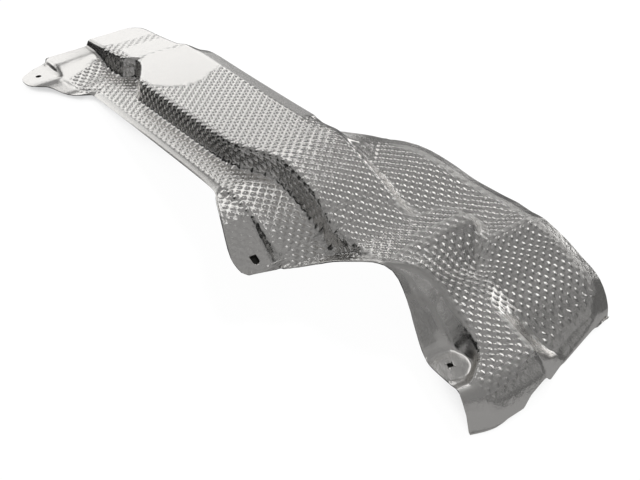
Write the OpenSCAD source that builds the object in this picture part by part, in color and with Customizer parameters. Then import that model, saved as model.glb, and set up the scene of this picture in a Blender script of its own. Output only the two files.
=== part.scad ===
// Heat shield of an engine bay and exhaust line: one sheet of embossed aluminium, stamped and trimmed.
// The sheet is shaped in the frame of its flat crown: X runs along the body from the far edge, Y to the
// right, Z up from the crown. Then it is laid down on the three places that it comes to rest on.

/* [Sheet] */
// Thickness of the sheet
sheet_t = 1; // [0.6:0.1:1.6]
// Width of the eased bend on each side of a crease
bend_w = 3.5; // [2:0.5:6]

/* [Crown] */
// Length of the flat crown, from the far edge to the first bend
crown_l = 380; // [374:1:396]
// Length of the first ramp
ramp1_l = 62; // [56:1:70]
// Fall of the first ramp, in degrees
ramp1_fall = 10; // [6:0.5:13]
// Length of the second ramp
ramp2_l = 77; // [72:1:84]
// Fall of the second ramp, in degrees
ramp2_fall = 20.5; // [17:0.5:24]
// Length of the nearly level shoulder below the second ramp
shoulder_l = 28; // [25:1:34]
// Length of the steep fall below the shoulder
fall_l = 45; // [41:1:50]
// Slope of the steep fall, in degrees
fall_slope = 38; // [32:0.5:41]
// Length of the toe, from the steep fall to the nose
toe_l = 88; // [86:1:96]
// Slope of the toe, in degrees
toe_slope = 19; // [16:0.5:23]

/* [Steps] */
// Height of the main riser, from the side deck and the ledge up to the crown
riser_h = 21; // [16:0.5:24]
// Width that the main riser takes in plan
riser_run = 6; // [4:0.5:8]
// Depth of the first plateau below the crown
plateau_drop = 7; // [5:0.5:9]
// Height of the small riser between the ear and the first plateau
ear_riser_h = 5.5; // [3:0.5:7]
// Height of the riser between the side deck and the slotted tab, at its near end
tab_riser_h = 9; // [6:0.5:11]
// Slope of the slotted tab, in degrees
tab_fall = 26.5; // [24:0.5:29]
// Fall of the smooth strip along the deck's left edge
strip_drop = 3; // [1:0.5:5]
// Fall of the smooth flange along the crown's right edge
flange_drop = 4; // [2:0.5:6]
// Fall of the rim band round the right ledge
rim_drop = 9; // [5:0.5:11]
// Depth of the nose's roll
nose_drop = 29; // [24:0.5:32]
// Depth of the roll at the ledge's end
ledge_drop = 8; // [4:0.5:10]

/* [Plan] */
// How far the ear stands out from the crown's axis
ear_reach = 126; // [122:0.5:132]
// How far the side deck's left edge stands out from the crown's axis
deck_reach = 72; // [70:0.5:76]
// How far the slotted tab stands out from the crown's axis
tab_reach = 106; // [102:0.5:112]
// Distance from the crown's axis to its left edge
crown_left = 37; // [34:0.5:41]
// Distance from the crown's axis to its right edge
crown_right = 45; // [42:0.5:48]
// Width of the smooth flange along the crown's right edge
flange_w = 16; // [12:0.5:18]
// How far the right ledge stands out from the crown's axis, at its widest
ledge_reach = 177; // [172:0.5:184]
// Width of the smooth rim band round the ledge
rim_w = 19; // [15:0.5:22]

/* [Mounts] */
// Diameter of the bore in the far ear
ear_bore_d = 6.5; // [5:0.1:9]
// Distance of the ear's bore from the far edge
ear_bore_x = 32; // [26:1:36]
// Distance of the ear's bore from the ear's outer edge
ear_bore_in = 19; // [15:0.5:24]
// Width of the slot in the tab
slot_w = 6.5; // [5:0.1:9]
// Length of the slot in the tab
slot_l = 11.5; // [10:0.5:15]
// Distance of the slot's centre from the tab's outer edge
slot_in = 19; // [16:0.5:22]
// Diameter of the flat boss pad
boss_d = 35; // [30:0.5:38]
// Diameter of the bore in the boss pad
boss_bore_d = 5.5; // [4:0.1:8]
// Length of each of the boss bore's spring slits, from the bore's edge
boss_slit = 2; // [1:0.1:3]
// Depth of the boss pad below the crown
boss_z = 103.5; // [100:0.5:106]
// Radius of the relief notch between the ear and the side deck
notch_r = 2.5; // [1.5:0.1:3.5]

/* [Hidden] */

// Places along the body where one form ends and the next begins
x_bend = crown_l;
x_ramp2 = x_bend + ramp1_l;
x_shoulder = x_ramp2 + ramp2_l;
x_fall = x_shoulder + shoulder_l;
x_toe = x_fall + fall_l;
x_nose = x_toe + toe_l;
// Where the ear, the pocket beside the crown and the tab end
ear_end = 98;
pocket_end = ear_end + 67;
tab_end = x_ramp2 + 32;
// Places of the slot and the boss
slot_x = tab_end - 16;
boss_x = x_toe + 32;
boss_y = -8;
// Width of the boss bore's spring slits, their turn, and the eased bend round the boss pad
slit_w = 0.8;
slit_turn = 30;
pad_bend = 4;
// Length and turn of the notch's open end, and the height of all the cutters
notch_l = 16;
notch_turn = -14;
cut_h = 30;
// Where the nose begins to roll down, and where the near end's sections begin to fan
roll_l = 25;
x_fan = x_toe + 38;
// A gap that keeps lines of the net apart where the sheet's parts run together
least = 0.5;

// A smooth curve through rows of [place, value], with no overshoot between them
function row_at(t, x, i = 0) = (i >= len(t) - 2 || x < t[i + 1][0]) ? i : row_at(t, x, i + 1);
function rate(t, i) = (t[i + 1][1] - t[i][1]) / (t[i + 1][0] - t[i][0]);
function knot(t, i) =
    i == 0 ? rate(t, 0)
  : i == len(t) - 1 ? rate(t, i - 1)
  : let (a = rate(t, i - 1), b = rate(t, i)) (a * b <= 0 ? 0 : 2 * a * b / (a + b));
function along(t, x) =
    let (i = row_at(t, x), h = t[i + 1][0] - t[i][0], s = min(max((x - t[i][0]) / h, 0), 1),
         a = t[i][1], b = t[i + 1][1], m = knot(t, i) * h, n = knot(t, i + 1) * h)
    a + s * (m + s * (3 * (b - a) - 2 * m - n + s * (m + n - 2 * (b - a))));
function mix(a, b, s) = a + (b - a) * s;
function ease(x, a, b) = let (s = min(max((x - a) / (b - a), 0), 1)) s * s * (3 - 2 * s);

// The crown's profile: straight runs of [length, fall in degrees], one after the other
crown_runs = [[crown_l, 0], [ramp1_l, ramp1_fall], [ramp2_l, ramp2_fall], [shoulder_l, 2],
              [fall_l, fall_slope], [toe_l, toe_slope]];
function run_end(i) =
    i < 0 ? [0, 0]
  : let (p = run_end(i - 1), r = crown_runs[i]) [p[0] + r[0], p[1] - r[0] * tan(r[1])];
crown_profile = [for (i = [-1:len(crown_runs) - 1]) run_end(i)];
function crown_z(x) = along(crown_profile, x);

// How far the side deck on the left lies below the crown
deck_depth = [[0, plateau_drop], [25, plateau_drop], [46, plateau_drop + 4], [62, plateau_drop + 9],
              [ear_end - 16, riser_h], [x_bend, riser_h], [x_ramp2 - 20, riser_h + 1.5],
              [x_ramp2 + 42, riser_h + 3.5], [x_ramp2 + 50, riser_h + 2],
              [x_ramp2 + 62, riser_h * 0.6], [x_ramp2 + 78, riser_h * 0.2], [x_fall - 8, 0.5],
              [x_fall, 0]];
function deck_z(x) = crown_z(x) - along(deck_depth, x);
// How far the riser's foot lies below the crown, which is more beside the first plateau
foot_depth = concat([[0, plateau_drop], [22, plateau_drop + 1.5], [46, riser_h - 4], [62, riser_h + 0.5],
                     [ear_end - 19, riser_h + 1], [ear_end + 2, riser_h]],
                    [for (r = deck_depth) if (r[0] > ear_end + 2) r]);
// How far the right ledge lies below the crown, as a share of the riser's height
ledge_share = [[0, 1], [x_bend, 1], [x_ramp2, 0.85], [x_ramp2 + 56, 0.74], [x_shoulder, 0.66],
               [x_fall - 5, 0.84], [x_fall + 17, 0.7], [x_toe - 7, 0.45], [x_toe + 18, 0.56],
               [x_toe + 46, 1.2], [x_nose, 1.7]];
function ledge_z(x) = crown_z(x) - riser_h * along(ledge_share, x);

// The left outline: the ear, the side deck, the slotted tab, the waist and the boss flange
ear_edge = [[0, -ear_reach * 0.68], [7, -ear_reach * 0.81], [14, -ear_reach * 0.9],
            [25, -ear_reach * 0.985], [36, -ear_reach], [46, -ear_reach * 0.995],
            [53, -ear_reach * 0.975], [56, -ear_reach * 0.935], [59, -ear_reach * 0.885],
            [74, -ear_reach * 0.795], [ear_end - 9, -ear_reach * 0.71],
            [ear_end - 4, -ear_reach * 0.665], [ear_end - 1, -ear_reach * 0.6]];
deck_edge = [[ear_end + 1, -deck_reach], [ear_end + 14, -deck_reach],
             [x_bend - 60, -deck_reach - 1], [x_bend - 9, -deck_reach - 2.5]];
tab_edge = [[x_bend + 13, -tab_reach * 0.79], [tab_end - 50, -tab_reach * 0.905],
            [tab_end - 30, -tab_reach * 0.975], [tab_end - 18, -tab_reach],
            [tab_end - 10, -tab_reach * 0.985], [tab_end - 5.5, -tab_reach * 0.965],
            [tab_end - 3, -tab_reach * 0.92], [tab_end - 1.5, -tab_reach * 0.8],
            [tab_end, -tab_reach * 0.72], [tab_end + 3, -tab_reach * 0.7],
            [tab_end + 9, -tab_reach * 0.695]];
waist_edge = [[x_ramp2 + 45, -67], [x_ramp2 + 48, -49], [x_ramp2 + 60, -41], [x_shoulder + 5, -30],
              [x_fall - 8, -19], [x_fall + 1, -14.5], [x_fall + 9, -7], [x_fall + 20, -5.5]];
boss_edge = [[x_toe - 13, -9.5], [x_toe + 4, -15.5], [boss_x - 18, boss_y - 11], [boss_x - 6, boss_y - 13.5],
             [boss_x + 9, boss_y - 14.5], [boss_x + 23, boss_y - 15.5], [boss_x + 35, boss_y - 19],
             [x_nose - 18, boss_y - 20], [x_nose, boss_y - 14]];
left_edge = concat(ear_edge, deck_edge, tab_edge, waist_edge, boss_edge);

// The crown's left edge: it steps round the pocket behind the first plateau, sweeps in at the bend,
// and runs inward past the boss
crown_edge = [[0, 7 - crown_left], [40, 10 - crown_left], [79, 15 - crown_left], [98, 25 - crown_left],
              [113, 20 - crown_left], [132, 10 - crown_left], [153, -crown_left],
              [x_bend - 55, -crown_left], [x_bend - 28, 4 - crown_left], [x_bend - 11, 10 - crown_left],
              [x_bend + 8, 17 - crown_left], [x_bend + 22, 21 - crown_left],
              [x_bend + 44, 22 - crown_left], [x_ramp2 + 25, 18 - crown_left],
              [x_ramp2 + 40, 14.5 - crown_left], [x_ramp2 + 54, 15.5 - crown_left],
              [x_ramp2 + 66, 20 - crown_left], [x_fall - 8, -16], [x_fall + 1, -11], [x_fall + 14, 9],
              [x_fall + 33, 22], [x_toe + 10, 22], [boss_x - 7, 20], [boss_x + 10, 14],
              [boss_x + 21, 1], [boss_x + 30, -10], [x_nose - 20, -7], [x_nose, 5]];
// Width in plan of the riser below that edge, down to its foot
foot_run = [[0, 2], [35, 3], [60, riser_run], [x_bend, riser_run], [x_ramp2, riser_run + 2],
            [x_ramp2 + 40, riser_run - 2], [x_fall - 20, 2], [x_fall, 2], [x_fall + 14, 8],
            [x_fall + 33, 21], [x_toe + 10, 22], [boss_x - 12, 13], [boss_x, 10.5], [boss_x + 10, 7],
            [boss_x + 21, 6], [x_nose - 20, 5], [x_nose, 9]];
// The outer riser's top: it bounds the ear, then the smooth strip, then the slotted tab
strip_edge = [[0, -ear_reach * 0.675], [60, -ear_reach * 0.68], [80, -ear_reach * 0.6],
              [ear_end - 6, 6 - deck_reach], [x_bend - 9, 4.5 - deck_reach],
              [x_bend + 33, 7 - deck_reach], [tab_end, 1 - deck_reach], [tab_end + 12, 14 - deck_reach]];
strip_run = [[0, 2.5], [60, 2.5], [85, 6], [ear_end + 2, 3.5], [x_bend, 4.5], [x_bend + 33, 3],
             [tab_end, 3], [tab_end + 10, 6]];
// The crown's right edge and the foot of the wall there: the crown bulges over its shoulder
right_edge = [[0, crown_right * 0.5], [8, crown_right * 0.74], [18, crown_right * 0.82],
              [46, crown_right * 0.88], [86, crown_right * 0.98], [96, crown_right + 5],
              [148, crown_right + 4], [193, crown_right + 2], [x_bend - 24, crown_right - 1.5],
              [x_bend - 8, crown_right], [x_bend + 5, crown_right + 9], [x_bend + 18, crown_right + 8],
              [x_bend + 54, crown_right + 5], [x_ramp2 + 28, crown_right + 2.5],
              [x_shoulder - 16, crown_right + 2.5], [x_shoulder - 12, crown_right + 5],
              [x_shoulder - 10, 64], [x_shoulder - 7.5, 79], [x_shoulder - 1, 87],
              [x_shoulder + 11, 89.5], [x_fall + 1, 86.5], [x_fall + 14, 76], [x_toe - 7, 63],
              [x_toe + 21, 54], [x_nose, 54]];
ledge_foot = [[x_bend - 28, 57], [x_bend + 3, 59], [x_bend + 15, 67], [x_bend + 54, 64],
              [x_shoulder - 28, 61], [x_shoulder - 14, 64], [x_shoulder - 11, 78],
              [x_shoulder - 8, 92], [x_shoulder - 1, 100], [x_shoulder + 11, 103], [x_fall, 100],
              [x_fall + 14, 92], [x_toe - 7, 82], [x_toe + 21, 76], [x_toe + 47, 79],
              [x_toe + 64, 90], [x_nose, 90]];
// How much sooner the crown falls along its right edge than along its axis
right_lead = [[x_shoulder - 6, 0], [x_shoulder + 14, 12], [x_fall, 20], [x_fall + 20, 17],
              [x_toe - 8, 9], [x_toe + 12, 4], [x_toe + 40, 0], [x_nose, 0]];
function z_right(x) = crown_z(x + along(right_lead, x));
// The right outline, as a share of how far the ledge reaches past the crown
ledge_out = [[x_bend - 34, 0], [x_bend - 22, 0.13], [x_bend - 10, 0.2], [x_bend + 6, 0.3],
             [x_bend + 22, 0.405], [x_bend + 32, 0.505], [x_bend + 49, 0.605], [x_bend + 71, 0.67],
             [x_ramp2 + 35, 0.74], [x_ramp2 + 59, 0.83], [x_shoulder + 8, 0.875], [x_fall + 10, 0.91],
             [x_fall + 24, 0.95], [x_fall + 41, 0.985], [x_toe + 15, 1], [x_toe + 30, 0.98],
             [x_toe + 40, 0.935], [x_toe + 46, 0.885], [x_toe + 50, 0.85], [x_nose, 0.83]];
far_flange = [[0, 0.06], [90, 0.12], [97, 0.36], [111, 0.45], [119, 0.72], [128, 0.96],
              [160, 1], [x_bend - 28, 1.03], [x_bend, 1]];

// Lines that run the whole length, from the left outline to the right one: how far each stands from
// the crown's axis at a place x
function y_left(x) = along(left_edge, x);
function y_crown(x) = max(along(crown_edge, x), y_left(x) + 4 * least);
function y_foot(x) = max(y_crown(x) - along(foot_run, x), mix(y_left(x), y_crown(x), 0.7));
function y_strip(x) =
    let (deck = along(strip_edge, x), inner = mix(y_left(x), y_foot(x), 0.66))
    mix(deck, inner, ease(x, tab_end + 2, tab_end + 16));
function y_strip_foot(x) = max(y_strip(x) - along(strip_run, x), mix(y_left(x), y_strip(x), 0.3));
function y_right(x) = along(right_edge, x);
function y_out(x) =
    let (flange = y_right(x) + flange_w * along(far_flange, x),
         ledge = mix(crown_right + flange_w, ledge_reach, along(ledge_out, x)))
    x < x_bend - 34 ? flange : max(ledge, flange * (1 - ease(x, x_bend - 34, x_bend - 20)));
function y_wall(x) =
    mix(mix(y_right(x), y_out(x), 0.35), along(ledge_foot, x), ease(x, x_bend - 40, x_bend - 28));
function y_rim(x) =
    mix(mix(y_right(x), y_out(x), 0.7), max(y_out(x) - rim_w, along(ledge_foot, x) + 5),
        ease(x, x_bend - 38, x_bend - 22));

// Heights of the same lines
function z_ear(x) =
    mix(-plateau_drop - ear_riser_h, deck_z(x) - 0.5, ease(x, 44, ear_end - 12));
// The tab is a flat, sloping face that ends a riser's height below the side deck
function z_tab(x) =
    min(deck_z(x) - strip_drop * 0.5,
        deck_z(tab_end) - tab_riser_h + (tab_end - x) * tan(tab_fall));
// The boss flange falls from the shoulder to the boss pad, and its foot falls a little later
flange_fall = [[x_fall, 0], [x_fall + 10, 0.18], [x_fall + 20, 0.5], [x_toe - 13, 0.69],
               [x_toe + 4, 0.92], [boss_x - 19, 0.985], [boss_x - 12, 1], [x_nose, 1]];
foot_fall = [[x_fall, 0], [x_fall + 14, 0.28], [x_fall + 33, 0.68], [x_toe + 11, 0.95],
             [boss_x - 12, 1], [x_nose, 1]];
function z_side(x, fall) =
    mix(mix(crown_z(x_fall), -boss_z, along(fall, x)), crown_z(x),
        ease(x, boss_x + 19, boss_x + 38));
function z_left(x) =
    x < ear_end - 1 ? z_ear(x)
  : x < x_bend ? deck_z(x) - strip_drop
  : x < tab_end ? mix(deck_z(x) - strip_drop, z_tab(x), ease(x, x_bend, x_bend + 40))
  : x < x_fall ? mix(z_tab(tab_end), deck_z(x), ease(x, tab_end, tab_end + 8))
  : z_side(x, flange_fall);
function z_strip_foot(x) =
    x < ear_end - 1 ? z_ear(x)
  : x < x_bend ? deck_z(x) - strip_drop * 0.5
  : z_left(x);
function z_strip(x) = x < x_fall ? deck_z(x) : z_side(x, flange_fall);
function z_foot(x) = x < x_fall ? crown_z(x) - along(foot_depth, x) : z_side(x, foot_fall);
// On the right the strip along the crown ends at the bend, and the ledge begins a little before it
function z_out_at(x, part, drop, a, b) =
    mix(crown_z(x) - flange_drop * part, ledge_z(x) - drop, ease(x, a, b));
function z_wall(x) = z_out_at(x, x < x_bend - 34 ? 0.35 : 0.8, 0, x_bend + 2, x_bend + 15);
function z_rim(x) = z_out_at(x, 0.7, 0, x_bend - 36, x_bend - 24);
function z_out(x) =
    z_out_at(x, 1, rim_drop * ease(x, x_bend - 10, x_bend + 80), x_bend - 36, x_bend - 24);

// Where each line ends: the near edge is not square to the body
function x_end(j) =
    [x_nose - 13, x_nose - 9, x_nose - 6, x_nose - 4, x_nose - 3, x_nose - 5, x_nose - 24,
     x_nose - 37, x_nose - 42][j];
function fan(x, j) =
    x < x_fan ? x : x_fan + (x - x_fan) * (x_end(j) - x_fan) / (x_nose - x_fan);
// How deep the roll at the near end goes on each line
function roll_drop(j) =
    j == 0 ? nose_drop * 0.72 : j == 1 ? nose_drop * 0.92 : j < 6 ? nose_drop : ledge_drop;
function roll(x) =
    let (s = min(max((x - x_nose + roll_l) / roll_l, 0), 1)) 1 - sqrt(max(1 - s * s, 0));

// The nine lines' points at station x
function ys(x) = [y_left(x), y_strip_foot(x), y_strip(x), y_foot(x), y_crown(x), y_right(x),
                  y_wall(x), y_rim(x), y_out(x)];
function zs(x) = [z_left(x), z_strip_foot(x), z_strip(x), z_foot(x), crown_z(x), z_right(x),
                  z_wall(x), z_rim(x), z_out(x)];
function line_point(x, j) =
    let (px = fan(x, j)) [px, ys(px)[j], zs(px)[j] - roll_drop(j) * roll(x)];
// The net's places between two lines: one bend's width in from each, and evenly spread between
strips = [1, 1, 2, 1, 3, 1, 3, 1];
function between(p, q, n) =
    let (e = min(bend_w / norm(q - p), 0.3)) [for (k = [0:n]) mix(p, q, e + (1 - 2 * e) * k / n)];
// The lines inside the sheet are creases, each eased towards the middle of the chord across it
function crease(p, j) =
    j == 0 || j == 8 ? p[j]
  : let (a = between(p[j - 1], p[j], 1)[1], b = between(p[j], p[j + 1], 1)[0]) (a + 2 * p[j] + b) / 4;
function section(x) =
    let (p = [for (j = [0:8]) line_point(x, j)])
    concat([for (j = [0:7]) each [crease(p, j), each between(p[j], p[j + 1], strips[j])]], [p[8]]);
// The boss pad is pressed flat
function on_pad(p) =
    let (d = norm([p[0] - boss_x, p[1] - boss_y]))
    [p[0], p[1], mix(-boss_z, p[2], ease(d, boss_d / 2, boss_d / 2 + pad_bend))];

// Stations along the body, closer together where the form changes
function steps(a, b, n) = [for (i = [0:n - 1]) mix(a, b, i / n)];
stations = concat(steps(0, 25, 5), steps(25, 62, 5), steps(62, ear_end - 7, 5),
                  steps(ear_end - 7, ear_end + 5, 5), steps(ear_end + 5, pocket_end, 6),
                  steps(pocket_end, x_bend - 70, 4), steps(x_bend - 70, x_bend - 40, 1),
                  steps(x_bend - 40, x_bend + 20, 11), steps(x_bend + 20, tab_end - 12, 6),
                  steps(tab_end - 12, tab_end - 6, 2), steps(tab_end - 6, tab_end + 18, 12),
                  steps(tab_end + 18, x_shoulder - 14, 1),
                  steps(x_shoulder - 14, x_shoulder - 4, 5),
                  steps(x_shoulder - 4, x_fall, 4), steps(x_fall, x_toe, 7),
                  steps(x_toe, x_nose - roll_l, 11),
                  [for (a = [0:18:90]) x_nose - roll_l + roll_l * sin(a)]);
net = [for (x = stations) [for (p = section(x)) on_pad(p)]];
rows = len(net);
cols = len(net[0]);

// The underside lies one thickness below the net, square to it
function unit(v) = v / norm(v);
function net_normal(i, j) =
    let (a = net[min(i + 1, rows - 1)][j] - net[max(i - 1, 0)][j],
         b = net[i][min(j + 1, cols - 1)] - net[i][max(j - 1, 0)])
    unit(cross(a, b));
top_points = [for (i = [0:rows - 1]) for (j = [0:cols - 1]) net[i][j]];
low_points = [for (i = [0:rows - 1]) for (j = [0:cols - 1]) net[i][j] - sheet_t * net_normal(i, j)];
function at(i, j) = i * cols + j;
function low(i, j) = rows * cols + at(i, j);
// Each quad of the net is split along its shorter diagonal
function split(i, j) = norm(net[i][j] - net[i + 1][j + 1]) <= norm(net[i + 1][j] - net[i][j + 1]);
sheet_faces = concat(
    [for (i = [0:rows - 2]) for (j = [0:cols - 2])
        each split(i, j)
          ? [[at(i, j), at(i, j + 1), at(i + 1, j + 1)], [at(i, j), at(i + 1, j + 1), at(i + 1, j)]]
          : [[at(i, j), at(i, j + 1), at(i + 1, j)], [at(i, j + 1), at(i + 1, j + 1), at(i + 1, j)]]],
    [for (i = [0:rows - 2]) for (j = [0:cols - 2])
        each split(i, j)
          ? [[low(i, j), low(i + 1, j + 1), low(i, j + 1)], [low(i, j), low(i + 1, j), low(i + 1, j + 1)]]
          : [[low(i, j), low(i + 1, j), low(i, j + 1)],
             [low(i, j + 1), low(i + 1, j), low(i + 1, j + 1)]]],
    [for (i = [0:rows - 2])
        each [[at(i, 0), at(i + 1, 0), low(i + 1, 0)], [at(i, 0), low(i + 1, 0), low(i, 0)]]],
    [for (i = [0:rows - 2])
        each [[at(i, cols - 1), low(i + 1, cols - 1), at(i + 1, cols - 1)],
              [at(i, cols - 1), low(i, cols - 1), low(i + 1, cols - 1)]]],
    [for (j = [0:cols - 2])
        each [[at(0, j), low(0, j + 1), at(0, j + 1)], [at(0, j), low(0, j), low(0, j + 1)]]],
    [for (j = [0:cols - 2])
        each [[at(rows - 1, j), at(rows - 1, j + 1), low(rows - 1, j + 1)],
              [at(rows - 1, j), low(rows - 1, j + 1), low(rows - 1, j)]]]);

module formed_sheet() {
    polyhedron(points = concat(top_points, low_points), faces = sheet_faces, convexity = 12);
}

module ear_bore() {
    translate([ear_bore_x, ear_bore_in - ear_reach, -plateau_drop - ear_riser_h - cut_h / 2])
        cylinder(d = ear_bore_d, h = cut_h, $fn = 48);
}

module tab_slot() {
    flat = slot_l - slot_w;
    translate([slot_x, slot_in - tab_reach, z_tab(slot_x)])
        rotate([0, tab_fall, 0])
            translate([0, 0, -cut_h / 2]) {
                for (side = [-1, 1])
                    translate([side * flat / 2, 0, 0])
                        cylinder(d = slot_w, h = cut_h, $fn = 48);
                translate([-flat / 2, -slot_w / 2, 0])
                    cube([flat, slot_w, cut_h]);
            }
}

module boss_bore() {
    translate([boss_x, boss_y, -boss_z - cut_h / 2]) {
        cylinder(d = boss_bore_d, h = cut_h, $fn = 48);
        for (turn = [0:90:270])
            rotate([0, 0, turn + slit_turn])
                translate([0, -slit_w / 2, 0])
                    cube([boss_bore_d / 2 + boss_slit, slit_w, cut_h]);
    }
}

module ear_notch() {
    translate([ear_end - 9, -deck_reach - 1, -riser_h - cut_h / 2]) {
        cylinder(r = notch_r, h = cut_h, $fn = 32);
        rotate([0, 0, notch_turn])
            translate([0, -notch_r, 0])
                cube([notch_l, notch_r * 2, cut_h]);
    }
}

// The sheet rests on three places: the ear's far corner, the nose's right corner and the ledge's end
edge_points = concat(top_points, low_points);
far_points = [for (p = edge_points) if (p[0] < ear_end) p];
nose_points = [for (p = edge_points) if (p[0] > x_toe + 30 && p[1] < crown_right + 65) p];
ledge_points = [for (p = edge_points) if (p[0] > x_toe + 30 && p[1] >= crown_right + 65) p];
function lowest(list, n) = let (m = min([for (p = list) p * n])) [for (p = list) if (p * n == m) p][0];
function rest_points(n) = [lowest(far_points, n), lowest(nose_points, n), lowest(ledge_points, n)];
function plane(p) = unit(cross(p[1] - p[0], p[2] - p[0]));
function rest_up(n, turns) = turns == 0 ? n : rest_up(plane(rest_points(n)), turns - 1);
up = rest_up([0.18, 0.03, 0.98], 4);
ahead = unit([1, 0, 0] - up[0] * up);
across = cross(up, ahead);
function spread(list, v) =
    let (d = [for (p = list) p * v]) [min(d), max(d)];
span_x = spread(edge_points, ahead);
span_y = spread(edge_points, across);
span_z = spread(edge_points, up);

// Laid down on the ground, with the middle of its box over the origin
module laid_down() {
    multmatrix([[ahead[0], ahead[1], ahead[2], -(span_x[0] + span_x[1]) / 2],
                [across[0], across[1], across[2], -(span_y[0] + span_y[1]) / 2],
                [up[0], up[1], up[2], -span_z[0]],
                [0, 0, 0, 1]])
        children();
}

module heat_shield() {
    color([0.66, 0.65, 0.64])
        laid_down()
            difference() {
                formed_sheet();
                ear_bore();
                tab_slot();
                boss_bore();
                ear_notch();
            }
}

heat_shield();
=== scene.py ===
import math

import bpy
import numpy as np
from mathutils import Matrix, Vector
from mathutils.bvhtree import BVHTree


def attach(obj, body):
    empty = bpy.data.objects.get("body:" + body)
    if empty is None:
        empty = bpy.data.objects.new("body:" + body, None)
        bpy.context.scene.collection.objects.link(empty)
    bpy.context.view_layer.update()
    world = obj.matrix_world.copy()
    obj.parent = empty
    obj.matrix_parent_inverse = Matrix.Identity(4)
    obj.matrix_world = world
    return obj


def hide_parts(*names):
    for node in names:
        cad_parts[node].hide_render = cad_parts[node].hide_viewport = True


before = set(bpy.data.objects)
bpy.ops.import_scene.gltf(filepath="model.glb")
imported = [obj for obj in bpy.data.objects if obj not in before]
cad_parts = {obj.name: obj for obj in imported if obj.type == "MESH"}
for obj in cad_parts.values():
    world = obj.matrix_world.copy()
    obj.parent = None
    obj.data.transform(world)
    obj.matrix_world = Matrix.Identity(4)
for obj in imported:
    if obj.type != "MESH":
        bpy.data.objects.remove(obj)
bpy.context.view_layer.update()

# The embossed sheet
# One sheet of mill-finish aluminium, rolled with a square lattice of small domes before it was stamped.
# The press ironed the domes flat where it pressed a seat, a rim or a bend. It is drawn again as a fine
# net over the CAD sheet's upper side, with its domes, creases and wrinkles worked into the net.

MM = 0.001
SHEET_T = 1.0            # thickness of the sheet, mm
EAR_REACH = 126.0        # how far the ear stands out from the crown's axis, mm
LOOKS_UP = 0.9           # a face looks up when the height of its normal passes this
ONE_PLANE = 0.99999      # faces lie in one plane when the cosine between their normals passes this


def crown_frame(node):
    """The frame of the flat crown: X along the body from the far edge, Y to the right, Z up from the crown.

    Up is the mean normal of the faces in the plane of the largest face that looks up, weighted by area.
    Along is square to it and has no part across the row, and right is square to both. Returns the 4 by 4
    matrix that takes a point in this frame, in mm, to the row frame, in metres."""
    mesh = node.data
    normals = np.array([f.normal for f in mesh.polygons])
    areas = np.array([f.area for f in mesh.polygons])
    centres = np.array([f.center for f in mesh.polygons])
    points = np.array([v.co for v in mesh.vertices])
    largest = normals[(areas * (normals[:, 2] > LOOKS_UP)).argmax()]
    crown = normals @ largest > ONE_PLANE
    up = (normals[crown] * areas[crown, None]).sum(0)
    up /= np.linalg.norm(up)
    along = np.array([up[2], 0.0, -up[0]]) / math.hypot(up[0], up[2])
    right = np.cross(up, along)
    height = np.average(centres[crown] @ up, weights=areas[crown])
    origin = (along * (points @ along).min() + right * ((points @ right).min() + EAR_REACH * MM)
              + up * height)
    matrix = np.identity(4)
    matrix[:3] = np.stack([along * MM, right * MM, up * MM, origin], 1)
    return matrix


cad_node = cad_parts["heat_shield"]
to_row = crown_frame(cad_node)
to_crown = np.linalg.inv(to_row)


def in_row(points):
    """Points of the crown's frame, in mm, in the row frame, in metres: turned and scaled, then moved."""
    return np.asarray(points) @ to_row[:3, :3].T + to_row[:3, 3]


cad_points = np.array([v.co for v in cad_node.data.vertices]) @ to_crown[:3, :3].T + to_crown[:3, 3]
cad_tree = BVHTree.FromPolygons([Vector(p) for p in cad_points],
                                [tuple(f.vertices) for f in cad_node.data.polygons])

OVER_SHEET = 60.0        # a height above the crown that clears the whole sheet, mm
OFF_SHEET = 190.0        # a distance from the crown's axis that is off the sheet everywhere, mm
STRIDE = 2.0             # the steps in which the outline is looked for, mm


def height_at(x, y):
    """Height of the CAD sheet's upper side at a place in plan, found by a ray from above. None off it."""
    hit = cad_tree.ray_cast(Vector((x, y, OVER_SHEET)), Vector((0.0, 0.0, -1.0)))[0]
    return None if hit is None else hit.z


def edge_between(inside, outside, halvings=14):
    """The last place on the sheet on the way from a point inside it to a point outside it, by halving."""
    a, b = np.array(inside, float), np.array(outside, float)
    for _ in range(halvings):
        c = (a + b) / 2
        if height_at(*c) is None:
            b = c
        else:
            a = c
    return a


def outline_at(x, side):
    """Where the sheet ends at a place x along the body: side -1 is its left edge and 1 its right edge."""
    y = side * OFF_SHEET
    while height_at(x, y) is None:
        y -= side * STRIDE
    return edge_between((x, y), (x, y + side * STRIDE))[1]


# Rows run across the sheet and columns along it. Rows stand square to the body up to X_FAN, ROW_STEP
# apart over the sheet on the line MIDDLE_Y, and bend beyond it, so that the last row is the near edge.
X_START = 0.02           # the first row stands just inside the far edge, mm
X_FINE = 372.0           # from here on, where the sheet widens, it has twice as many columns, mm
X_FAN = 600.0            # from here on the rows bend to meet the near edge, mm
MIDDLE_Y = 20.0          # the line along the body on which distances along the sheet are measured, mm
ROW_STEP = 1.3           # distance between neighbouring rows, over the sheet, mm
COLS = 224               # columns where the sheet is widest
UNDER = 4                # the underside has one row and one column for this many of the upper side
NOSE_ROLL = 25.0         # width of the rolled nose, mm
FAN_ROWS = 36            # bent rows up to the rolled nose
NOSE_ROWS = 24           # rows over the rolled nose, closer and closer together
NEAR_LEFT = (667.0, -22.0)     # the near edge's left end, mm
NEAR_RIGHT = (638.0, 163.2)    # and its right end
EDGE_INSET = 0.05        # the bent rows stop this far inside the outline, mm
CORNER_INSET = 0.3       # and look for it this far before the near edge's ends, mm

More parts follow.
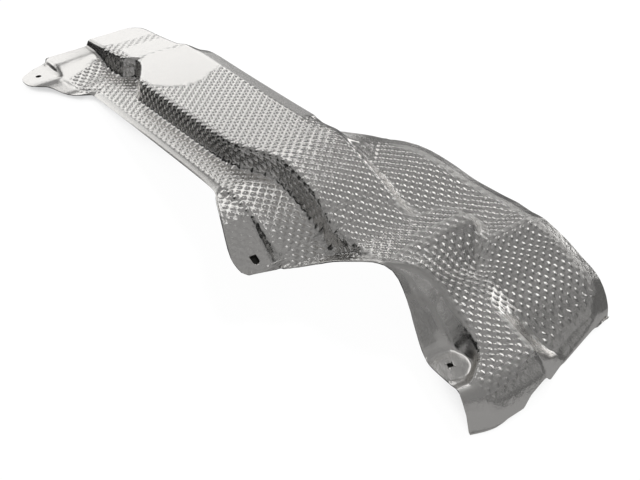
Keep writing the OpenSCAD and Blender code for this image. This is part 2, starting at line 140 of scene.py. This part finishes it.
# A place that misses the sheet counts as level with the crown
plain_x = np.arange(X_START, X_FAN, 1.0)
plain_z = np.array([height_at(x, MIDDLE_Y) or 0.0 for x in plain_x])
plain_run = np.concatenate([[0.0], np.cumsum(np.hypot(np.diff(plain_x), np.diff(plain_z)))])
straight_rows = np.interp(np.arange(0.0, plain_run[-1], ROW_STEP), plain_run, plain_x)
split = int(np.searchsorted(straight_rows, X_FINE)) // UNDER * UNDER
to_roll = NEAR_LEFT[0] - NOSE_ROLL - X_FAN
over_roll = NOSE_ROLL * np.sin(np.linspace(0, math.pi / 2, NOSE_ROWS))
fan_run = np.concatenate([np.linspace(0, to_roll, FAN_ROWS)[:-1], to_roll + over_roll])
spread = np.linspace(0.0, 1.0, COLS + 1)


def near_edge():
    """Where the near edge stands along the body, one place for each column, found on the CAD sheet.

    The columns stand evenly spaced on the straight line between its two ends. Each place is looked for
    from beyond that line inwards, and the two outermost a little inside the sheet's sides."""
    beyond, inside = 16.0, 0.5
    places = []
    for s in spread:
        y = NEAR_LEFT[1] + (NEAR_RIGHT[1] - NEAR_LEFT[1]) * s
        y = min(max(y, NEAR_LEFT[1] + inside), NEAR_RIGHT[1] - inside)
        x = NEAR_LEFT[0] + (NEAR_RIGHT[0] - NEAR_LEFT[0]) * s + beyond
        while height_at(x, y) is None:
            x -= 1.0
        places.append(edge_between((x, y), (x + 1.0, y))[0])
    return np.array(places)


def net_row(left, right, x_line):
    """One row of the net from its left to its right end, with its points evenly spaced over the sheet.

    x_line is the row's place along the body at each column. The height is read three times for each
    column, and a gap between readings is bridged straight."""
    s = np.linspace(0.0, 1.0, 3 * COLS + 1)
    x = np.interp(s, spread, x_line)
    y = left + (right - left) * s
    z = np.array([np.nan if h is None else h for h in (height_at(a, b) for a, b in zip(x, y))])
    known = ~np.isnan(z)
    z = np.interp(s, s[known], z[known])
    way = np.concatenate([[0.0], np.cumsum(np.hypot(np.diff(y), np.diff(z)))])
    even = np.interp(spread * way[-1], way, s)
    return np.stack([np.interp(even, s, x), np.interp(even, s, y), np.interp(even, s, z)], 1)


edge_x = near_edge()
net = []
for x in straight_rows:
    net.append(net_row(outline_at(x, -1), outline_at(x, 1), np.full(COLS + 1, x)))
for bend in fan_run / fan_run[-1]:
    x_line = X_FAN + (edge_x - X_FAN) * bend
    left_end = outline_at(min(x_line[0], NEAR_LEFT[0] - CORNER_INSET), -1) + EDGE_INSET
    right_end = outline_at(min(x_line[-1], NEAR_RIGHT[0] - CORNER_INSET), 1) - EDGE_INSET
    net.append(net_row(left_end, right_end, x_line))
# A few rows behind the split are left out, so that the underside's rows come out even
spare = (len(net) - 1) % UNDER
net = np.array(net[:split + 1] + net[split + 1 + spare:])


def smoothed(net, turns):
    """The net with each inner point drawn towards its neighbours: a quarter, a half, a quarter each way."""
    for _ in range(turns):
        inner = (net[:, :-2] + 2 * net[:, 1:-1] + net[:, 2:]) / 4
        net = np.concatenate([net[:, :1], inner, net[:, -1:]], 1)
        inner = (net[:-2] + 2 * net[1:-1] + net[2:]) / 4
        net = np.concatenate([net[:1], inner, net[-1:]], 0)
    return net


def net_normals(net):
    """The net's normals: the cross product of its two directions, made one long."""
    normals = np.cross(np.gradient(net, axis=0), np.gradient(net, axis=1))
    return normals / np.linalg.norm(normals, axis=2, keepdims=True)


net = smoothed(net, 2)
normals = net_normals(net)
X, Y, Z = net[..., 0], net[..., 1], net[..., 2]

# Distances over the sheet: from each edge, across from the crown's axis, and along it from LATTICE_X
LATTICE_X = 289.1        # a dome stands at this place on the crown's axis, mm
steps_across = np.linalg.norm(np.diff(net, axis=1), axis=2)
steps_back = np.linalg.norm(np.diff(net[::-1], axis=0), axis=2)
to_left = np.concatenate([np.zeros((len(net), 1)), np.cumsum(steps_across, 1)], 1)
to_right = to_left[:, -1:] - to_left
to_near = np.concatenate([np.zeros((1, COLS + 1)), np.cumsum(steps_back, 0)], 0)[::-1]
across = to_left - np.array([np.interp(0.0, y, way) for y, way in zip(Y, to_left)])[:, None]
middle_x = np.array([np.interp(MIDDLE_Y, y, x) for y, x in zip(Y, X)])
middle_z = np.array([np.interp(MIDDLE_Y, y, z) for y, z in zip(Y, Z)])
middle_run = np.concatenate([[0.0], np.cumsum(np.hypot(np.diff(middle_x), np.diff(middle_z)))])
along = np.interp(X, middle_x, middle_run - np.interp(LATTICE_X, middle_x, middle_run))

DOME_PITCH = 7.0         # distance between neighbouring domes, mm
DOME_D = 6.0             # width of a dome, mm
DOME_H = 0.62            # height of a dome in the mesh, mm
DOME_SINK = 0.35         # share of it by which the lattice sinks, to stay level with the CAD sheet


def domes(s, t):
    """Height from 0 to 1 of a square lattice of domes turned 45 degrees.

    At a distance r from the nearest dome's centre it is half of 1 plus the cosine of pi r / radius."""
    a, b = (t - s) / math.sqrt(2) / DOME_PITCH, (t + s) / math.sqrt(2) / DOME_PITCH
    r = DOME_PITCH * np.hypot(a - np.round(a), b - np.round(b))
    return np.where(r < DOME_D / 2, (1 + np.cos(math.pi * r / (DOME_D / 2))) / 2, 0.0)


def rise(value, a, b):
    """0 up to a and 1 from b on. Between them it is 3 s squared less 2 s cubed, s the share of the way."""
    s = np.clip((value - a) / (b - a), 0.0, 1.0)
    return s * s * (3.0 - 2.0 * s)


def fall(value, a, b):
    """1 up to a and 0 from b on: one less the rise between them."""
    return 1 - rise(value, a, b)


def oval(x, y, a, b, edge):
    """1 inside an ellipse with half axes a and b about (x, y), falling to 0 over edge mm outside it."""
    return fall(np.hypot((X - x) / a, (Y - y) / b), 1.0, 1.0 + edge / min(a, b))


# The dome-free areas, as the press left them: 1 where the sheet is smooth and 0 where it has its domes.
# Each pair of numbers says where an area's edge begins and ends to fade, in mm.
BOSS = (624.0, -8.0)     # the boss bore's place in plan, mm
# The crease beside the boss flange, and beyond it the foot of the nose
FLANGE_CREASE = ((528, -24), (548, -11), (561, 9), (580, 20),
                 (617, 18), (634, 12), (645, -1), (656, -12))
crease_x, crease_y = zip(*FLANGE_CREASE)
flange = rise(X, 528, 540) * fall(Y - np.interp(X, crease_x, crease_y), 0, 6)
# A smooth strip runs along the crown's right edge, and one along the side deck's left edge
crown_strip = fall(to_right, 14, 19) * rise(X, 60, 110)
deck_strip = fall(to_left, 7, 11) * rise(X, 98, 110) * fall(X, 372, 384)
left_rim = fall(to_left, 3, 6)
near_rim = fall(to_near, 20, 30)
# The ear is smooth up to a slanting line. The far end beside it keeps two bands of faint domes
ear = fall(X - 0.5 * (-Y - 37), 33, 40) * fall(Y, -40, -34)
ear_side = rise(-Y, 76, 84) * fall(X, 98, 106)
bands = rise(X, 35, 40) * fall(X, 54, 59) + rise(X, 88, 93) * fall(X, 106, 111)
far_end = fall(X, 111, 118) * rise(Y, -44, -38) * (1 - 0.4 * bands)
crown_pad = np.maximum(oval(140, 16, 46, 44, 6), oval(153, 4, 42, 35, 5))
boss_pad = oval(*BOSS, 17, 17, 4)
# The press flattened the domes round the tab's slot only in part
slot_pad = oval(455, -88, 28, 22, 14) * 0.7
# The press drew the sheet smooth where it widens, and on the wall between the crown and the ledge
widening = oval(378, 72, 34, 17, 8)
ledge_wall = rise(np.abs(normals[..., 1]), 0.32, 0.5) * rise(X, 376, 384) * rise(Y, 36, 42)
# The riser beside the first plateau keeps its domes, whatever lies over it
far_riser = rise(-Y, 12, 18) * rise(X, 30, 38) * fall(X, 104, 116) * fall(-Y, 38, 44)
smooth_areas = np.maximum.reduce([flange, crown_strip, deck_strip, left_rim, near_rim, ear, ear_side,
                                  far_end, crown_pad, boss_pad, slot_pad, widening, ledge_wall])
smooth_areas *= 1 - far_riser
# The domes of the long riser, which was drawn deep, stand two fifths lower
long_riser = rise(-normals[..., 1], 0.35, 0.55) * fall(X, 505, 515)
dome_share = (1 - np.clip(smooth_areas, 0, 1)) * (1 - 0.4 * long_riser)

# Fine creases beside the boss flange, on the shoulder's left edge and on its top, as lines in plan, mm
CREASES = (((562, 8), (572, 16), (589, 21), (601, 22), (616, 21)),
           ((503, -16), (512, -18), (523, -21), (536, -24)),
           ((488, 38), (497, 43), (506, 42), (518, 41)))
CREASE_D = 0.6           # depth of a crease, mm
CREASE_W = 1.3           # half its width, mm


def groove(points):
    """A groove along a line in plan. At a distance d from it, it is CREASE_D exp(-(d / CREASE_W) squared)
    deep, where d is the least distance from the line's straight stretches."""
    nearest = np.full(X.shape, np.inf)
    for (x0, y0), (x1, y1) in zip(points, points[1:]):
        length = math.hypot(x1 - x0, y1 - y0)
        t = np.clip(((X - x0) * (x1 - x0) + (Y - y0) * (y1 - y0)) / length ** 2, 0, 1)
        nearest = np.minimum(nearest, np.hypot(X - x0 - t * (x1 - x0), Y - y0 - t * (y1 - y0)))
    return CREASE_D * np.exp(-(nearest / CREASE_W) ** 2)


# Wrinkles fan out from the corner where the nose, the toe and the ledge meet: their height is
# WRINKLE_H times the sine of WRINKLES times the direction from the corner plus WRINKLE_SWIRL times the
# distance from it
CORNER = (622.0, 92.0)   # mm
WRINKLE_H = 0.22         # mm
WRINKLES = 9             # in a full turn
WRINKLE_SWIRL = 0.08     # how they bend as they run outwards, radians for each mm
out = np.hypot(X - CORNER[0], Y - CORNER[1])
towards = np.arctan2(Y - CORNER[1], X - CORNER[0])
wrinkled = rise(out, 6, 16) * fall(out, 26, 46) * fall(Y, CORNER[1] - 4, CORNER[1] + 14)
wrinkles = WRINKLE_H * np.sin(WRINKLES * towards + WRINKLE_SWIRL * out) * wrinkled

lift = (domes(along, across) - DOME_SINK) * DOME_H * dome_share + wrinkles - sum(map(groove, CREASES))
sheet_top = net + normals * lift[..., None]
sheet_low = (net - normals * SHEET_T)[::UNDER, ::UNDER]

# How uneven the stamped metal is: little at the far end, fully at the near end, which was drawn deepest,
# and a fifth of that on the boss pad, which was coined flat again
unevenness = (0.15 + 0.85 * rise(X, 330, 430)) * (1 - 0.8 * boss_pad)
# The die rubbed the near end's tight bends dull, where the normals turn by more than a few hundredths
# of a radian from point to point, and the bend of the ledge's rim. The near edge stayed clean, and so
# did the boss pad.
turning = np.hypot(np.linalg.norm(np.gradient(normals, axis=0), axis=2),
                   np.linalg.norm(np.gradient(normals, axis=1), axis=2))
tight_bends = rise(turning, 0.03, 0.09) * rise(X + 0.5 * Y, 505, 520)
rim_bend = rise(to_right, 10, 16) * fall(to_right, 20, 26) * rise(X, 400, 430)
rubbed = np.maximum(tight_bends, rim_bend) * rise(to_near, 26, 34) * (1 - oval(*BOSS, 30, 30, 6))


def closed_sheet(name, top, low, uv, marks):
    """A closed mesh: an upper side, an underside with fewer rows and columns, and walls round them.

    Up to the row split the upper side leaves out every second column, and a row of five-sided faces
    joins the two parts. marks gives each point its numbers for the material, by their names."""
    m, n = top.shape[:2]
    p, q = low.shape[:2]
    top_id = np.arange(m * n).reshape(m, n)
    low_id = m * n + np.arange(p * q).reshape(p, q)

    def quads(ids):
        """Four-sided faces between neighbouring rows and columns of point numbers."""
        return np.stack([ids[:-1, :-1], ids[1:, :-1], ids[1:, 1:], ids[:-1, 1:]], -1).reshape(-1, 4)

    coarse_row, fine_row = top_id[split - 1, ::2], top_id[split]
    joint = np.stack([coarse_row[:-1], fine_row[:-1:2], fine_row[1::2], fine_row[2::2], coarse_row[1:]], -1)
    faces = [quads(top_id[:split, ::2]), quads(top_id[split:]), joint, quads(low_id)[:, ::-1]]
    rims = [(top_id[0, ::2], low_id[0], UNDER // 2, True), (top_id[-1], low_id[-1], UNDER, False),
            (top_id[:, 0], low_id[:, 0], UNDER, False), (top_id[:, -1], low_id[:, -1], UNDER, True)]
    for fine, coarse, ratio, ahead in rims:
        walls = np.stack([fine[d:len(fine) - ratio + d:ratio] for d in range(ratio + 1)]
                         + [coarse[1:], coarse[:-1]], -1)
        faces.append(walls if ahead else walls[:, ::-1])
    faces = [face for part in faces for face in part.tolist()]
    points = np.concatenate([top.reshape(-1, 3), low.reshape(-1, 3)])
    uv = np.concatenate([uv.reshape(-1, 2), uv[::UNDER, ::UNDER].reshape(-1, 2)])
    used = np.zeros(len(points), bool)
    used[[v for face in faces for v in face]] = True
    new_id = np.cumsum(used) - 1
    mesh = bpy.data.meshes.new(name)
    mesh.from_pydata(in_row(points[used]).tolist(), [], [[int(new_id[v]) for v in face] for face in faces])
    mesh.update()
    corners = np.empty(len(mesh.loops), int)
    mesh.loops.foreach_get("vertex_index", corners)
    layer = mesh.uv_layers.new(name="sheet")
    layer.data.foreach_set("uv", uv[used][corners].astype(np.float32).ravel())
    for mark, values in marks.items():
        values = np.concatenate([values.ravel(), values[::UNDER, ::UNDER].ravel()])[used]
        attribute = mesh.attributes.new(mark, "FLOAT", "POINT")
        attribute.data.foreach_set("value", values.astype(np.float32))
    return mesh


sheet_mesh = closed_sheet("embossed_sheet", sheet_top, sheet_low, np.stack([along, across], 2) / DOME_PITCH,
                          {"dome_share": dome_share, "unevenness": unevenness, "rubbed": rubbed})
sheet = bpy.data.objects.new("embossed_sheet", sheet_mesh)
bpy.context.scene.collection.objects.link(sheet)


def add_node(tree, kind, values=None, links=None, **settings):
    """Adds one node: values fill its inputs, links join them to other nodes, settings are its own."""
    node = tree.nodes.new(kind)
    for key, value in settings.items():
        setattr(node, key, value)
    for key, value in (values or {}).items():
        node.inputs[key].default_value = value
    for key, source in (links or {}).items():
        tree.links.new(source, node.inputs[key])
    return node


def linear(hex_colour):
    """The linear colour of an sRGB hex colour.

    A dark part c becomes c / 12.92, and any other (c + 0.055) / 1.055 to the power 2.4."""
    c = np.array([int(hex_colour[i:i + 2], 16) / 255 for i in (1, 3, 5)])
    return (*np.where(c <= 0.04045, c / 12.92, ((c + 0.055) / 1.055) ** 2.4), 1.0)


# Mill-finish aluminium, straight from the rolls and never polished: bright, slightly warm metal that
# mirrors its surroundings a little blurred. Fine grain breaks the reflections up, shallow dents from
# stamping bend them, and the bends that the die rubbed look dull.
CLEAN, RUBBED = 0.2, 0.5       # roughness
GRAIN_W, GRAIN_H = 1.111, 0.2  # the rolled grain, drawn as coarse as it needs to show, mm
GRAIN_SHARE = 0.25       # share of the grain that is left on the stamped sheet
DENT_W, DENT_H = 8.333, 0.6    # the dents that stamping leaves, where the sheet is least even, mm
DOME_TOP = 0.45          # height that the bump adds to each dome of the mesh, mm
aluminium = bpy.data.materials.new("mill_finish_aluminium")
aluminium.use_nodes = True
tree = aluminium.node_tree
tree.nodes.clear()
place = add_node(tree, "ShaderNodeTexCoord")
grain = add_node(tree, "ShaderNodeTexNoise", {"Scale": 1 / (GRAIN_W * MM), "Detail": 3.0},
                 {"Vector": place.outputs["Object"]})
dent = add_node(tree, "ShaderNodeTexNoise", {"Scale": 1 / (DENT_W * MM), "Detail": 4.0, "Roughness": 0.6},
                {"Vector": place.outputs["Object"]})
uneven = add_node(tree, "ShaderNodeAttribute", attribute_name="unevenness")
depth = add_node(tree, "ShaderNodeMath", {}, {0: dent.outputs["Fac"], 1: uneven.outputs["Fac"]},
                 operation="MULTIPLY")
dents = add_node(tree, "ShaderNodeBump", {"Distance": DENT_H * MM}, {"Height": depth.outputs[0]})
grained = add_node(tree, "ShaderNodeBump", {"Strength": GRAIN_SHARE, "Distance": GRAIN_H * MM},
                   {"Height": grain.outputs["Fac"], "Normal": dents.outputs["Normal"]})
# The same lattice of domes as in the mesh: cells without randomness, turned 45 degrees, whose distance
# d from the nearest centre gives the height 1 - (d / radius) squared
lattice = add_node(tree, "ShaderNodeUVMap", uv_map="sheet")
turned = add_node(tree, "ShaderNodeMapping", {"Rotation": (0, 0, math.pi / 4)},
                  {"Vector": lattice.outputs["UV"]})
cell = add_node(tree, "ShaderNodeTexVoronoi", {"Scale": 1.0, "Randomness": 0.0},
                {"Vector": turned.outputs["Vector"]}, voronoi_dimensions="2D")
ratio = add_node(tree, "ShaderNodeMath", {1: 2 * DOME_PITCH / DOME_D}, {0: cell.outputs["Distance"]},
                 operation="MULTIPLY")
square = add_node(tree, "ShaderNodeMath", {1: 2.0}, {0: ratio.outputs[0]}, operation="POWER")
cap = add_node(tree, "ShaderNodeMath", {0: 1.0}, {1: square.outputs[0]}, operation="SUBTRACT",
               use_clamp=True)
domed = add_node(tree, "ShaderNodeAttribute", attribute_name="dome_share")
height = add_node(tree, "ShaderNodeMath", {}, {0: cap.outputs[0], 1: domed.outputs["Fac"]},
                  operation="MULTIPLY")
crest = add_node(tree, "ShaderNodeBump", {"Distance": DOME_TOP * MM},
                 {"Height": height.outputs[0], "Normal": grained.outputs["Normal"]})
dull = add_node(tree, "ShaderNodeAttribute", attribute_name="rubbed")
blur = add_node(tree, "ShaderNodeMapRange", {"To Min": CLEAN, "To Max": RUBBED},
                {"Value": dull.outputs["Fac"]})
metal = add_node(tree, "ShaderNodeBsdfPrincipled", {"Base Color": linear("#efedea"), "Metallic": 1.0},
                 {"Normal": crest.outputs["Normal"], "Roughness": blur.outputs["Result"]})
add_node(tree, "ShaderNodeOutputMaterial", {}, {"Surface": metal.outputs["BSDF"]})

# The bores, the slot and the notch
# The press pierced the ear's round bore, the boss bore with four spring slits round it, and the tab's
# slot, and trimmed a relief notch beside the ear. They are cut where the CAD part has them, but the slot
# is shorter than its slot.

# Places in plan and widths, mm, and the two heights between which each is cut, which clear the sheet
EAR_BORE = (32.0, -107.0, 6.5)
EAR_CUT = (-40, 20)
BOSS_BORE = (*BOSS, 5.5)
BOSS_CUT = (-120, -90)
SLIT_L, SLIT_W = 2.0, 0.8      # how far a slit runs out from the bore, and its width
SLIT_TURNS = (30, 120)   # the slits are the ends of two slots across the bore, turned so far, degrees
TAB_SLOT = (458.0, -87.0, 6.5)
SLOT_STRAIGHT = 5.0      # length of the tab slot's straight sides
TAB_CUT = (-90, -20)
NOTCH = (89.0, -73.0, 5.0)
NOTCH_CUT = (-50, 0)
SHARP = 52               # an edge is sharp when its faces turn by more than this, degrees


def arc(x, y, width, first=0.0, last=360.0, points=40):
    """Points on a circle arc between two angles in degrees: (x + r cos a, y + r sin a), r half the width.
    A full circle leaves out its last point, which is its first."""
    a = np.radians(np.linspace(first, last, points, endpoint=last - first < 360.0))
    return np.stack([x + width / 2 * np.cos(a), y + width / 2 * np.sin(a)], 1)


def bar(x, y, length, width, turn):
    """The corners of a rectangle about (x, y): half its length ahead and half its width aside, each way."""
    ahead = np.array([math.cos(math.radians(turn)), math.sin(math.radians(turn))]) * length / 2
    aside = np.array([-math.sin(math.radians(turn)), math.cos(math.radians(turn))]) * width / 2
    return np.array([x, y]) + np.array([-ahead - aside, ahead - aside, ahead + aside, aside - ahead])


def cut(outline, low, high):
    """Cuts a closed prism out of the sheet: the outline in plan, carried from one height to another."""
    n = len(outline)
    points = np.concatenate([np.c_[outline, np.full(n, low)], np.c_[outline, np.full(n, high)]])
    faces = [list(range(n))[::-1], list(range(n, 2 * n))]
    faces += [[k, (k + 1) % n, n + (k + 1) % n, n + k] for k in range(n)]
    mesh = bpy.data.meshes.new("cutter")
    mesh.from_pydata(in_row(points).tolist(), [], faces)
    cutter = bpy.data.objects.new("cutter", mesh)
    bpy.context.scene.collection.objects.link(cutter)
    change = sheet.modifiers.new("cut", "BOOLEAN")
    change.operation, change.object, change.solver = "DIFFERENCE", cutter, "MANIFOLD"
    bpy.context.view_layer.update()
    done = bpy.data.meshes.new_from_object(sheet.evaluated_get(bpy.context.evaluated_depsgraph_get()))
    sheet.modifiers.clear()
    sheet.data = done
    bpy.data.objects.remove(cutter)


cut(arc(*EAR_BORE), *EAR_CUT)
cut(arc(*BOSS_BORE), *BOSS_CUT)
for slit_turn in SLIT_TURNS:
    cut(bar(*BOSS, BOSS_BORE[2] + 2 * SLIT_L, SLIT_W, slit_turn), *BOSS_CUT)
# The tab's slot is round towards the nose and square at its far end. The CAD part's is round there too,
# and reaches about 3 mm further.
slot_x, slot_y, slot_w = TAB_SLOT
slot_end = SLOT_STRAIGHT / 2
cut(np.concatenate([arc(slot_x + slot_end, slot_y, slot_w, -90.0, 90.0, 20),
                    [[slot_x - slot_end, slot_y + slot_w / 2], [slot_x - slot_end, slot_y - slot_w / 2]]]),
    *TAB_CUT)
cut(arc(*NOTCH), *NOTCH_CUT)
sheet.data.materials.clear()
sheet.data.materials.append(aluminium)
sheet.data.polygons.foreach_set("material_index", np.zeros(len(sheet.data.polygons), np.int32))
sheet.data.shade_smooth()
sheet.data.set_sharp_from_angle(angle=math.radians(SHARP))
sheet.data.name = "embossed_sheet"

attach(sheet, "root")
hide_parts("heat_shield")

# The floor
# A wide sheet of white paper. The camera and the metal see it nearly white, by its own glow, which fades
# close under the shield, so that the shield keeps a shadow. The rest of it is lit as plain paper.

FLOOR_HALF = 12.0        # half its width, m
GLOW_SHARE = 0.93        # share of what the camera and the metal see that is glow
SHADOW_REACH = 0.08      # the glow fades this near the shield, m
floor_mesh = bpy.data.meshes.new("floor")
floor_points = [(x * FLOOR_HALF, y * FLOOR_HALF, 0) for x, y in ((-1, -1), (1, -1), (1, 1), (-1, 1))]
floor_mesh.from_pydata(floor_points, [], [(0, 1, 2, 3)])
floor = bpy.data.objects.new("floor", floor_mesh)
bpy.context.scene.collection.objects.link(floor)
# White paper: matt and even, so that only the shadow shows on it
white = bpy.data.materials.new("white_paper")
white.use_nodes = True
tree = white.node_tree
tree.nodes.clear()
path = add_node(tree, "ShaderNodeLightPath")
direct = add_node(tree, "ShaderNodeMath", {}, {0: path.outputs["Is Camera Ray"],
                                               1: path.outputs["Is Glossy Ray"]}, operation="MAXIMUM")
seen = add_node(tree, "ShaderNodeMath", {}, {0: direct.outputs[0],
                                             1: path.outputs["Is Transmission Ray"]}, operation="MAXIMUM")
glow_share = add_node(tree, "ShaderNodeMath", {1: GLOW_SHARE}, {0: seen.outputs[0]}, operation="MULTIPLY")
paper = add_node(tree, "ShaderNodeBsdfDiffuse", {"Color": linear("#f4f4f2")})
# The glow is full where four tenths of the sky or more are open, and weaker down to one tenth
shelter = add_node(tree, "ShaderNodeAmbientOcclusion", {"Distance": SHADOW_REACH}, samples=8)
brightness = add_node(tree, "ShaderNodeMapRange",
                      {"From Min": 0.1, "From Max": 0.4, "To Min": 0.6, "To Max": 1.05},
                      {"Value": shelter.outputs["AO"]})
glow = add_node(tree, "ShaderNodeEmission", {"Color": (1, 1, 1, 1)},
                {"Strength": brightness.outputs["Result"]})
both = add_node(tree, "ShaderNodeMixShader", {}, {0: glow_share.outputs[0], 1: paper.outputs[0],
                                                  2: glow.outputs[0]})
add_node(tree, "ShaderNodeOutputMaterial", {}, {"Surface": both.outputs[0]})
floor_mesh.materials.append(white)

# The studio's cards
# White and black cards stand round the shield and lie on the floor. Only the metal's reflections show
# them, so each sets the tone of those parts of the shield that look its way.


def card(name, points, faces, strength):
    """A card of one even tone: 1 is white and 0 black. Only what the metal reflects shows it."""
    mesh = bpy.data.meshes.new(name)
    mesh.from_pydata(points, [], faces)
    board = bpy.data.objects.new(name, mesh)
    bpy.context.scene.collection.objects.link(board)
    material = bpy.data.materials.new(name)
    material.use_nodes = True
    tree = material.node_tree
    tree.nodes.clear()
    glow = add_node(tree, "ShaderNodeEmission", {"Color": (1, 1, 1, 1), "Strength": strength})
    add_node(tree, "ShaderNodeOutputMaterial", {}, {"Surface": glow.outputs[0]})
    mesh.materials.append(material)
    board.visible_camera = False
    board.visible_diffuse = False
    board.visible_shadow = False
    board.visible_transmission = False


def arc_card(name, first, last, low, high, strength, radius=4.0, parts=24):
    """A card bent round the shield, between two azimuths a and two elevations e, in degrees.

    Its points are radius times (cos e cos a, cos e sin a, sin e), in metres."""
    azimuths = np.radians(np.linspace(first, last, parts + 1))
    points = [(radius * math.cos(e) * math.cos(a), radius * math.cos(e) * math.sin(a), radius * math.sin(e))
              for e in np.radians((low, high)) for a in azimuths]
    faces = [(k, k + 1, parts + 2 + k, parts + 1 + k) for k in range(parts)]
    card(name, points, faces, strength)


def floor_card(name, x0, x1, y0, y1, strength, lift=0.4 * MM):
    """A card that lies on the floor between two places each way, in metres."""
    card(name, [(x0, y0, lift), (x1, y0, lift), (x1, y1, lift), (x0, y1, lift)], [(0, 1, 2, 3)], strength)


# The crown, and the far end beyond it, nearly white
arc_card("back_card", 148, 199, 1.5, 18.5, 1.12)
# The ear, and the first ramp beyond the crown
arc_card("upper_card", 146, 162, 24, 60, 1.1)
# The side deck
arc_card("left_card", 174, 203, 17.5, 28, 0.7)
# Glints on the toe, the ledge and their domes
arc_card("softbox", 86, 128, 15, 28, 1.6)
# The smooth strip along the crown's right edge
arc_card("side_card", 138, 147.5, 0, 6, 0.55)
# Black cards for the ledge's near end, the toe, and the long riser with the flange beside the boss
arc_card("right_flag", 45, 106, 0, 12, 0.1)
arc_card("dark_flag", 52, 80, 13, 37, 0.1)
arc_card("left_flag", 205, 243, 0, 36, 0.01)
# The risers look down at the floor on their left, the ledge's walls at the floor on the right and the
# nose at the floor before it
floor_card("dark_floor", -0.2, 0.3, -3, 0, 0.015)
floor_card("far_dark_floor", -3, -0.2, -0.4, 0, 0.015)
floor_card("far_floor", -3, -0.2, -3, -0.4, 0.35)
floor_card("dim_floor", -3, 0.3, 0, 3, 0.12)
floor_card("grey_floor", 0.3, 3, -3, 3, 0.3)

# The room and the lamp
# Beyond the cards the room is an uneven grey, so that no part of the metal reflects one flat tone. One
# soft round lamp lights the floor and the squares of painted shadow under the holes. The metal doesn't
# mirror it.

ROOM_GREYS = (0.10, 0.34)      # the darkest and the palest grey
ROOM_PATCHES = 3.5             # the more of it, the smaller the patches of grey
world = bpy.data.worlds.new("studio")
bpy.context.scene.world = world
world.use_nodes = True
room = world.node_tree
sky = add_node(room, "ShaderNodeTexCoord")
patches = add_node(room, "ShaderNodeTexNoise", {"Scale": ROOM_PATCHES, "Detail": 3.0},
                   {"Vector": sky.outputs["Generated"]})
# The noise keeps mostly between these two values, which are spread over the whole range of greys
grey = add_node(room, "ShaderNodeMapRange",
                {"From Min": 0.35, "From Max": 0.65, "To Min": ROOM_GREYS[0], "To Max": ROOM_GREYS[1]},
                {"Value": patches.outputs["Fac"]})
room.nodes["Background"].inputs["Color"].default_value = (1, 1, 1, 1)
room.links.new(grey.outputs["Result"], room.nodes["Background"].inputs["Strength"])

lamp = bpy.data.lights.new("key", "AREA")
lamp.shape = "DISK"
lamp.size = 1.2
lamp.energy = 60
key = bpy.data.objects.new("key", lamp)
key.location = (-0.6, 1.2, 2.2)
key.rotation_euler = (-key.location).to_track_quat("-Z", "Y").to_euler()
key.visible_glossy = False
bpy.context.scene.collection.objects.link(key)

# The camera
# It stands where the photograph was taken from, beyond the near end, to its left and above it, and looks
# at the shoulder's left side. Its place and its aim are in the crown's frame, in mm.

CAMERA_PLACE = (1115.6, -430.7, 450.3)
CAMERA_AIM = (527.8, -62.1, 0.0)
CAMERA_ROLL = -4.79      # degrees, less than 0 is clockwise
CAMERA_LENS = 57.88      # mm, on a sensor 36 mm wide
spin = math.radians(CAMERA_ROLL)
back = np.subtract(CAMERA_PLACE, CAMERA_AIM)
back /= np.linalg.norm(back)
level = np.cross((0.0, 0.0, 1.0), back)
level /= np.linalg.norm(level)
right = level * math.cos(spin) + np.cross(back, level) * math.sin(spin)
up = np.cross(back, right)
pose = np.identity(4)
pose[:3, :3] = to_row[:3, :3] / MM @ np.stack([right, up, back], 1)
pose[:3, 3] = in_row(CAMERA_PLACE)
camera = bpy.data.objects.new("camera", bpy.data.cameras.new("camera"))
camera.matrix_world = Matrix(pose.tolist())
camera.data.sensor_width = 36.0
camera.data.lens = CAMERA_LENS
camera.data.clip_start = 0.01
camera.data.clip_end = 50.0
bpy.context.scene.collection.objects.link(camera)
bpy.context.scene.camera = camera
bpy.context.scene.view_settings.view_transform = "Standard"

# Painted shadow under the holes
# A small square of near-black matt colour lies close under each hole as painted shadow, so that the hole
# reads as dark, as the shade under the shield would make it. Like the floor, it is no part of the shield.

SHADE_PATCH_MARGIN = 4.0        # how far it reaches past the hole's edge, mm
SHADE_PATCH_DEPTH = 2.2         # how far it lies below the sheet's upper side, mm
# One square of painted shadow for each hole, a little below the sheet under it
shade_patch_points = []
for x, y, width in (EAR_BORE, BOSS_BORE, TAB_SLOT):
    half = width / 2 + SHADE_PATCH_MARGIN
    shade_patch_points += [(x + i * half, y + k * half, height_at(x + i * half, y + k * half) - SHADE_PATCH_DEPTH)
                    for i, k in ((-1, -1), (1, -1), (1, 1), (-1, 1))]
shade_patch_faces = [tuple(range(k, k + 4)) for k in range(0, len(shade_patch_points), 4)]
shade_patch_mesh = bpy.data.meshes.new("painted_shadow_patch")
shade_patch_mesh.from_pydata(in_row(shade_patch_points).tolist(), [], shade_patch_faces)
shade_patch = bpy.data.objects.new("painted_shadow_patch", shade_patch_mesh)
bpy.context.scene.collection.objects.link(shade_patch)
# Painted shadow: a near-black colour that returns almost no light and has no shine
black = bpy.data.materials.new("painted_shadow_black")
black.use_nodes = True
black.node_tree.nodes["Principled BSDF"].inputs["Base Color"].default_value = linear("#1c1c1a")
black.node_tree.nodes["Principled BSDF"].inputs["Roughness"].default_value = 0.95
shade_patch_mesh.materials.append(black)
